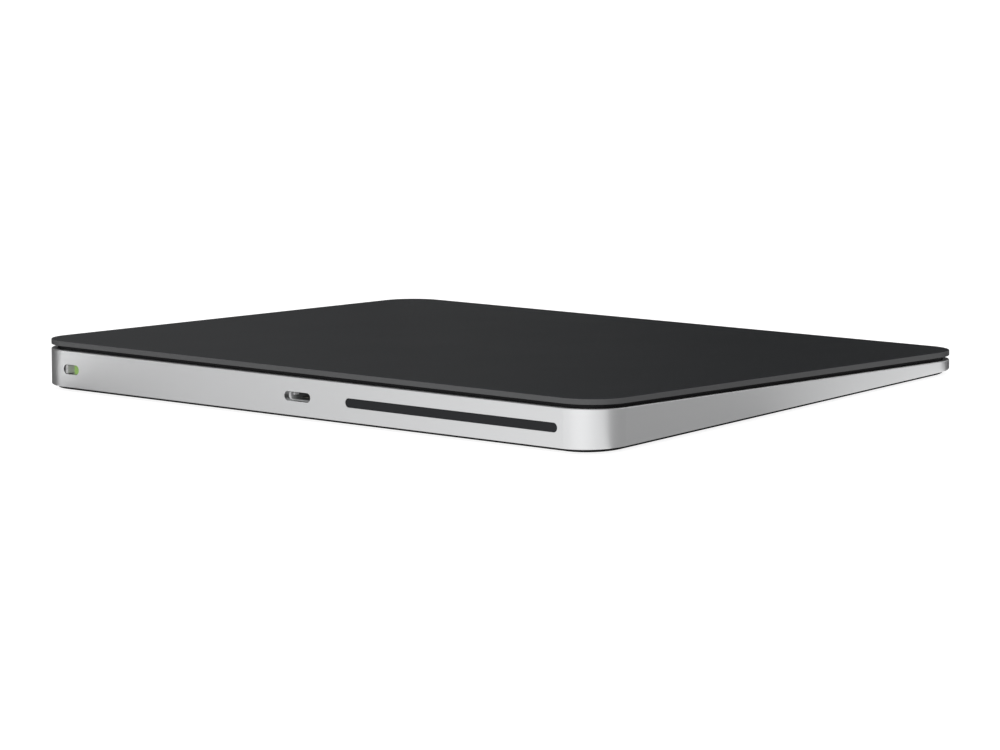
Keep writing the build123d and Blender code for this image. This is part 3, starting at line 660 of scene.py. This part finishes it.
def wound_coils():
    tree = Growth(
        "wound_coils",
        width="number",
        height="number",
        corner="number",
        wire="number",
        pitch="number",
        turns="count",
        turn="vector",
        material="material",
    )
    sides = {"Width": tree.given("width"), "Height": tree.given("height")}
    loop = tree.node("GeometryNodeCurvePrimitiveQuadrilateral", {}, sides)
    rounding = {"Curve": loop, "Count": CORNER_STEPS, "Radius": tree.given("corner")}
    loop = tree.node("GeometryNodeFilletCurve", {"mode": "POLY"}, rounding)
    circle = {"Resolution": WIRE_SIDES, "Radius": tree.given("wire")}
    circle = tree.node("GeometryNodeCurvePrimitiveCircle", {}, circle)
    ring = tree.node("GeometryNodeCurveToMesh", {}, {"Curve": loop, "Profile Curve": circle})
    ring = tree.node("GeometryNodeSetShadeSmooth", {}, {"Geometry": ring})
    step = tree.node("ShaderNodeCombineXYZ", {}, {"Z": tree.given("pitch")})
    line = {"Count": tree.given("turns"), "Offset": step}
    row = tree.node("GeometryNodeMeshLine", {"mode": "OFFSET"}, line)
    coil = tree.copies(row, ring)
    return tree.close(tree.copies(tree.given("Points"), coil, Rotation=tree.given("turn")))


# %% Wind the three coils
coil_points = [v.co for v in frame["nodes"]["haptic_coils"].data.vertices]
coil_start, coil_end = min(p.x for p in coil_points), max(p.x for p in coil_points)
coil_rear = [p.dot(glass_rearward) for p in coil_points]
coil_up = [p.dot(glass_normal) for p in coil_points]
all_width = max(coil_rear) - min(coil_rear)
coil_width = (all_width - (COIL_COUNT - 1) * COIL_GAP) / COIL_COUNT
coil_middles = [
    min(coil_rear) + coil_width / 2 + number * (coil_width + COIL_GAP)
    for number in range(COIL_COUNT)
]
coil_height = (max(coil_up) + min(coil_up)) / 2
coil_starts = [
    across * (coil_start + WIRE_RADIUS) + glass_rearward * rear + glass_normal * coil_height
    for rear in coil_middles
]
grow(
    "coil_windings",
    coil_starts,
    wound_coils(),
    "base",
    "copper",
    width=coil_width - WIRE_RADIUS,
    height=max(coil_up) - min(coil_up) - WIRE_RADIUS,
    corner=COIL_CORNER,
    wire=WIRE_RADIUS,
    pitch=WIRE_PITCH,
    turns=int((coil_end - coil_start - 2 * WIRE_RADIUS) / WIRE_PITCH) + 1,
    turn=Matrix((glass_rearward, glass_normal, across)).transposed().to_euler(),
    material=finishes["copper"],
)

# %% [markdown]
# ## Small parts on the logic board
#
# Between the shields and the chips, the real board is full of tiny ceramic capacitors with
# tinned ends. They stand in rows at one pitch, some turned by a right angle, with gaps in
# between. First the free places are found by casting rays, then one tree makes the bodies and,
# with another count and size, their two ends.

# %% Find the free places on the board
PART_PITCH = (1.5 * MM, 1.2 * MM)
PART_HEIGHT = 0.37 * MM
BOARD_MARGIN = 0.9 * MM
PART_MARGIN = 0.8 * MM
CLEAR_HEIGHT = 2.0 * MM


def ray_tree(name):
    """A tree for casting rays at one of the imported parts"""
    mesh = frame["nodes"][name].data
    return BVHTree.FromPolygons([v.co for v in mesh.vertices], [p.vertices for p in mesh.polygons])


board_low, board_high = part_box("logic_board")
board_tree = ray_tree("logic_board")
neighbours = [
    ray_tree(name)
    for name in frame["nodes"]
    if name.startswith(("board_", "port_", "switch_")) or name.endswith(("_flex", "_flexes"))
]


def is_free(spot):
    """True where a small part stands on the board and clear of everything else"""
    if board_tree.ray_cast(spot, -upwards, PART_HEIGHT)[0] is None:
        return False
    for tree in neighbours:
        near = tree.find_nearest(spot, PART_MARGIN)[0] is not None
        if near or tree.ray_cast(spot, upwards, CLEAR_HEIGHT)[0] is not None:
            return False
    return True


columns = int((board_high.x - board_low.x - 2 * BOARD_MARGIN) / PART_PITCH[0])
rows = int((board_high.y - board_low.y - 2 * BOARD_MARGIN) / PART_PITCH[1])
corner = board_low + Vector((BOARD_MARGIN, BOARD_MARGIN, 0))
part_level = board_high.z + PART_HEIGHT / 2
places = [
    Vector((corner.x + column * PART_PITCH[0], corner.y + row * PART_PITCH[1], part_level))
    for column in range(columns + 1)
    for row in range(rows + 1)
]
free_places = [spot for spot in places if is_free(spot)]
print(len(free_places), "free places of", len(places))


# %% Tree of small parts
def small_parts():
    tree = Growth(
        "small_parts",
        size="vector",
        count="count",
        step="number",
        share="number",
        seed="count",
        material="material",
    )
    block = tree.node("GeometryNodeMeshCube", {}, {"Size": tree.given("size")})
    step, count = tree.given("step"), tree.given("count")
    start = tree.node("ShaderNodeCombineXYZ", {}, {"X": (1 - count) * step * 0.5})
    offset = tree.node("ShaderNodeCombineXYZ", {}, {"X": step})
    line = {"Count": count, "Start Location": start, "Offset": offset}
    row = tree.node("GeometryNodeMeshLine", {"mode": "OFFSET"}, line)
    part = tree.copies(row, block)
    chance = {"Probability": tree.given("share"), "Seed": tree.given("seed")}
    kept = tree.node("FunctionNodeRandomValue", {"data_type": "BOOLEAN"}, chance, output=3)
    either = {"Probability": 0.5, "Seed": tree.given("seed") + 1}
    turned = tree.node("FunctionNodeRandomValue", {"data_type": "BOOLEAN"}, either, output=3)
    turn = tree.node("ShaderNodeCombineXYZ", {}, {"Z": turned * (math.pi / 2)})
    copies = tree.copies(tree.given("Points"), part, Selection=kept, Rotation=turn)
    return tree.close(copies)


# %% Put the parts on the board
BODY_SIZE = (0.62 * MM, 0.5 * MM, 0.35 * MM)
END_SIZE = (0.22 * MM, 0.52 * MM, PART_HEIGHT)
END_SPACING = 0.8 * MM
PART_SHARE = 0.55
PART_SEED = 7

parts_tree = small_parts()
ceramic = moulded(
    "ceramic", opaque(0.3, 0.19, 0.11), grain=0.2 * MM, relief=0.004 * MM, roughness=0.5
)
tin = rolled_metal("tinned_ends", opaque(0.6, 0.6, 0.58), roughness=0.35)
for piece, slot, size, count, step, material in (
    ("capacitor_bodies", "chips", BODY_SIZE, 1, 0.0, ceramic),
    ("capacitor_ends", "contacts", END_SIZE, 2, END_SPACING, tin),
):
    grow(
        piece,
        free_places,
        parts_tree,
        "base",
        slot,
        size=size,
        count=count,
        step=step,
        share=PART_SHARE,
        seed=PART_SEED,
        material=material,
    )

# %% [markdown]
# ## Springs and a ribbon with points to bend at
#
# Four flat springs carry the surface. One end of each is clamped to the tray and the other goes
# down with a press, so a spring bends. The imported solids are stiff. Here each is copied and cut
# across so that it has points to bend at, and the imported solid is hidden. The gauges glued on
# the springs and the ribbon of the touch sensor are copied and cut the same way.

# %% A copy cut across between two points
MERGE_DISTANCE = 0.001 * MM


def bending_copy(name, node, start, end, cuts, keep=None):
    """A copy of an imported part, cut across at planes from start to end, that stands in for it"""
    source = frame["nodes"][node]
    shape = bmesh.new()
    shape.from_mesh(source.data)
    bmesh.ops.remove_doubles(shape, verts=shape.verts, dist=MERGE_DISTANCE)
    if keep:
        others = [vertex for vertex in shape.verts if not keep(vertex.co)]
        bmesh.ops.delete(shape, geom=others, context="VERTS")
    for cut in range(cuts + 1):
        everything = shape.verts[:] + shape.edges[:] + shape.faces[:]
        spot = start.lerp(end, cut / cuts)
        bmesh.ops.bisect_plane(shape, geom=everything, plane_co=spot, plane_no=end - start)
    for face in shape.faces:
        face.smooth = False
    mesh = bpy.data.meshes.new(name)
    shape.to_mesh(mesh)
    shape.free()
    mesh.materials.clear()
    mesh.materials.append(source.data.materials[0])
    made = bpy.data.objects.new(name, mesh)
    bpy.context.scene.collection.objects.link(made)
    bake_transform(made)
    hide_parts(node)
    return made


# %% Springs and gauges
CLAMP_LENGTH = 7.0 * MM
TIP_LENGTH = 7.0 * MM
SPRING_CUTS = 10
GAUGE_CUTS = 3

for end_name in ("front", "rear"):
    for side_name in ("left", "right"):
        corner_name = end_name + "_" + side_name
        spring_low, spring_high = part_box("flexure_" + corner_name)
        inner, outer = sorted((spring_low.x, spring_high.x), key=abs)
        inwards = math.copysign(1, inner - outer)
        middle = (spring_low + spring_high) / 2
        clamped = Vector((outer + inwards * CLAMP_LENGTH, middle.y, middle.z))
        free = Vector((inner - inwards * TIP_LENGTH, middle.y, middle.z))

        def at_corner(point, low=spring_low, high=spring_high):
            return low.x < point.x < high.x and low.y < point.y < high.y

        bending_copy("spring_" + corner_name, "flexure_" + corner_name, clamped, free, SPRING_CUTS)
        bending_copy("gauge_" + corner_name, "strain_gauges", clamped, free, GAUGE_CUTS, at_corner)
print("four springs bend over", round((clamped - free).length / MM, 1), "mm")

# %% Ribbon of the touch sensor
LOOP_START, LOOP_END = 0.15, 0.85
LOOP_CUTS = 8

heights = [v.co.dot(glass_normal) for v in frame["nodes"]["sensor_flex"].data.vertices]
rise = max(heights) - min(heights)
loop_start = glass_normal * (min(heights) + LOOP_START * rise)
loop_end = glass_normal * (min(heights) + LOOP_END * rise)
bending_copy("sensor_ribbon", "sensor_flex", loop_start, loop_end, LOOP_CUTS)
print("ribbon rises", round(rise / MM, 2), "mm")

# %% [markdown]
# ## Floor and background
#
# The photograph's background is pure white. The floor is a white matt sheet whose shadow still
# shows, lifted to white by a little glow that only the camera and reflections see.

# %% White floor and world
FLOOR_SIZE = 60
FLOOR_COLOUR = 0.4
FLOOR_GLOW = 0.88
WORLD_LIGHT = 0.55


def stage_piece(name, points, faces, material):
    """A mesh that belongs to the studio and not to the object"""
    mesh = bpy.data.meshes.new(name)
    mesh.from_pydata(points, [], faces)
    mesh.materials.append(material)
    made = bpy.data.objects.new(name, mesh)
    bpy.context.scene.collection.objects.link(made)
    return made


def seen_directly(finish):
    """1 for what the camera sees straight or in a mirror or through glass, else 0"""
    kinds = [
        finish.node("ShaderNodeLightPath", output=name)
        for name in ("Is Camera Ray", "Is Glossy Ray", "Is Transmission Ray")
    ]
    return (kinds[0] + kinds[1] + kinds[2]).math("MINIMUM", 1)


def stage_material(name):
    """A material for a piece of the studio, with its empty node tree"""
    material = bpy.data.materials.new(name)
    material.use_nodes = True
    return material, Finish(material.node_tree)


def glow(finish, colour, strength):
    """A shader that only gives light"""
    sockets = {"Color": colour, "Strength": strength}
    return finish.node("ShaderNodeEmission", {}, sockets)


floor_material, sheet = stage_material("white_sheet")
paper = sheet.node("ShaderNodeBsdfDiffuse", {}, {"Color": grey(FLOOR_COLOUR)})
lift = glow(sheet, grey(1.0), seen_directly(sheet) * FLOOR_GLOW)
both = sheet.node("ShaderNodeAddShader", {}, {0: paper, 1: lift})
sheet.plain_node("ShaderNodeOutputMaterial", {}, {"Surface": both})
floor_corners = [(-1, -1), (1, -1), (1, 1), (-1, 1)]
floor_points = [(x * FLOOR_SIZE / 2, y * FLOOR_SIZE / 2, 0) for x, y in floor_corners]
stage_piece("floor", floor_points, [(0, 1, 2, 3)], floor_material)

world = bpy.data.worlds.new("studio")
world.use_nodes = True
bpy.context.scene.world = world
sky = Finish(world.node_tree)
strength = seen_directly(sky) * (1 - WORLD_LIGHT) + WORLD_LIGHT
backdrop = sky.node("ShaderNodeBackground", {}, {"Color": grey(1.0), "Strength": strength})
sky.plain_node("ShaderNodeOutputWorld", {}, {"Surface": backdrop})
print("floor", FLOOR_SIZE, "m wide")

# %% [markdown]
# ## Reflectors and cards
#
# Blasted metal shows what stands round it, blurred. In the studio of such a picture, white
# reflectors and grey cards stand round the object, and their steps from light to dark are what
# shape the walls. Here they are a ring and some cards on the floor, seen by reflections alone.
# Their brightness follows the compass angle, where 0 is behind the object and 90 to the user's
# right.

# %% Reflectors and cards round the object
RING_RADIUS = 1.0
RING_HEIGHT = 1.8
RING_SIDES = 72
RING_LEVELS = [
    (-180, 0.3), (-168, 0.6), (-158, 1.3), (-147, 1.3), (-138, 0.4), (-118, 0.43),
    (-92, 0.6), (-66, 0.72), (-50, 0.85), (-38, 1.42), (-8, 1.65), (20, 1.35),
    (38, 1.1), (46, 1.1), (51, 0.9), (57, 0.35), (66, 0.2), (84, 0.14),
    (104, 0.12), (124, 0.17), (133, 0.13), (145, 0.02), (160, 0.1), (180, 0.3),
]


def only_in_reflections(made):
    """Hides a piece of the studio from the camera and from soft light"""
    made.visible_camera = False
    made.visible_diffuse = False
    made.visible_transmission = False
    made.visible_shadow = False
    return made


def even_glow(name, level):
    """A material of one brightness"""
    material, finish = stage_material(name)
    shine = glow(finish, grey(1.0), level)
    finish.plain_node("ShaderNodeOutputMaterial", {}, {"Surface": shine})
    return material


def graded_glow(name, measure, stops):
    """A material whose brightness follows a measure of the place, through stops"""
    material, finish = stage_material(name)
    place = finish.node("ShaderNodeTexCoord", output="Object")
    start, end = stops[0][0], stops[-1][0]
    share = measure(finish.part_of(place, "X"), finish.part_of(place, "Y")).between(start, end)
    strongest = max(level for spot, level in stops)
    shades = [((spot - start) / (end - start), grey(level / strongest)) for spot, level in stops]
    colour = finish.node("ShaderNodeValToRGB", {"stops": shades}, {"Fac": share})
    shine = glow(finish, colour, strongest)
    finish.plain_node("ShaderNodeOutputMaterial", {}, {"Surface": shine})
    return material


def compass_angle(x, y):
    """The compass angle of a place, in degrees"""
    return x.math("ARCTAN2", y) * math.degrees(1)


ring_points, ring_faces = [], []
for side in range(RING_SIDES):
    angle = 2 * math.pi * side / RING_SIDES
    spot = (RING_RADIUS * math.sin(angle), RING_RADIUS * math.cos(angle))
    ring_points += [(*spot, 0), (*spot, RING_HEIGHT)]
    after = (side + 1) % RING_SIDES
    ring_faces.append((2 * side, 2 * after, 2 * after + 1, 2 * side + 1))
ring_material = graded_glow("reflector_ring", compass_angle, RING_LEVELS)
only_in_reflections(stage_piece("reflector_ring", ring_points, ring_faces, ring_material))
print("ring with", RING_SIDES, "sides")

# %% [markdown]
# Low on the walls, the reflections fall on the floor close by. The cards there fan out from the
# corners of the object, along the way that a reflection takes to the camera. Two of them are
# graded: even along a compass angle, and lighter or darker to the right of it.

# %% Cards that lie beside the walls
CARD_LIFT = 0.4 * MM
CARDS = {
    "left": [(-0.0785, 0.052), (-0.0785, -0.0495), (-0.9, -0.82), (-0.9, 0.22)],
    "right": [
        (0.0745, 0.0525), (0.0745, 0.0572), (0.0778, 0.0612), (0.0965, 0.0717),
        (0.9, 0.77), (0.9, -0.9), (0.0785, -0.05),
    ],
    "corner": [(-0.0785, -0.0505), (-0.64, -0.9), (-0.2, -0.9), (-0.07, -0.0565)],
    "front": [(-0.07, -0.0565), (-0.2, -0.9), (0.5, -0.9), (0.07, -0.0565)],
    "rear": [
        (-0.075, 0.0565), (0.074, 0.0565), (0.0775, 0.0616), (0.0965, 0.0722),
        (1.0, 0.86), (1.0, 0.95), (0.16, 1.0),
    ],
}
EVEN_LEVELS = {"right": 0.14, "corner": 0.08, "front": 0.4}
GRADES = {
    "left": (
        -137,
        [(0.026, 1.2), (0.034, 1.06), (0.045, 0.95), (0.056, 0.72), (0.066, 0.49), (0.1, 0.44)],
    ),
    "rear": (
        45,
        [
            (-0.092, 1.15), (-0.0212, 0.75), (0.0, 0.55), (0.0078, 0.35),
            (0.012, 0.9), (0.0152, 4.7), (0.032, 4.9),
        ],
    ),
}


def right_of(compass):
    """Measures how far a place lies to the right of a line along a compass angle"""
    turn = math.radians(compass)
    return lambda x, y: x * math.cos(turn) - y * math.sin(turn)


for side, outline in CARDS.items():
    if side in GRADES:
        compass, grades = GRADES[side]
        material = graded_glow(side + "_grey", right_of(compass), grades)
    else:
        material = even_glow(side + "_grey", EVEN_LEVELS[side])
    points = [(x, y, CARD_LIFT) for x, y in outline]
    card = stage_piece(side + "_card", points, [tuple(range(len(points)))], material)
    only_in_reflections(card)
print("cards", sorted(CARDS))

# %% [markdown]
# ## Lamps
#
# Soft boxes light the matt surfaces. A lamp is placed by its compass angle round the object, its
# height angle and its distance. The metal shows the ring instead of the lamps, so they're
# hidden from reflections.

# %% Soft boxes


def place_round(compass, height_angle, distance):
    """A point round the object, from two angles in degrees and a distance"""
    turn, rise = math.radians(compass), math.radians(height_angle)
    flat = distance * math.cos(rise)
    return Vector((math.sin(turn) * flat, math.cos(turn) * flat, math.sin(rise) * distance))


def soft_box(name, compass, height_angle, distance, size, power):
    """A rectangular lamp that faces the object, with its power in watts"""
    lamp = bpy.data.lights.new(name, "AREA")
    lamp.shape = "RECTANGLE"
    lamp.size, lamp.size_y = size
    lamp.energy = power
    box = bpy.data.objects.new(name, lamp)
    box.location = place_round(compass, height_angle, distance)
    box.rotation_mode = "QUATERNION"
    box.rotation_quaternion = box.location.to_track_quat("Z", "Y")
    box.visible_glossy = False
    bpy.context.scene.collection.objects.link(box)
    return box


soft_box("top_light", compass=0, height_angle=88, distance=1.2, size=(1.2, 1.2), power=5)
soft_box("rear_light", compass=-30, height_angle=12, distance=1.2, size=(0.8, 0.4), power=6.5)
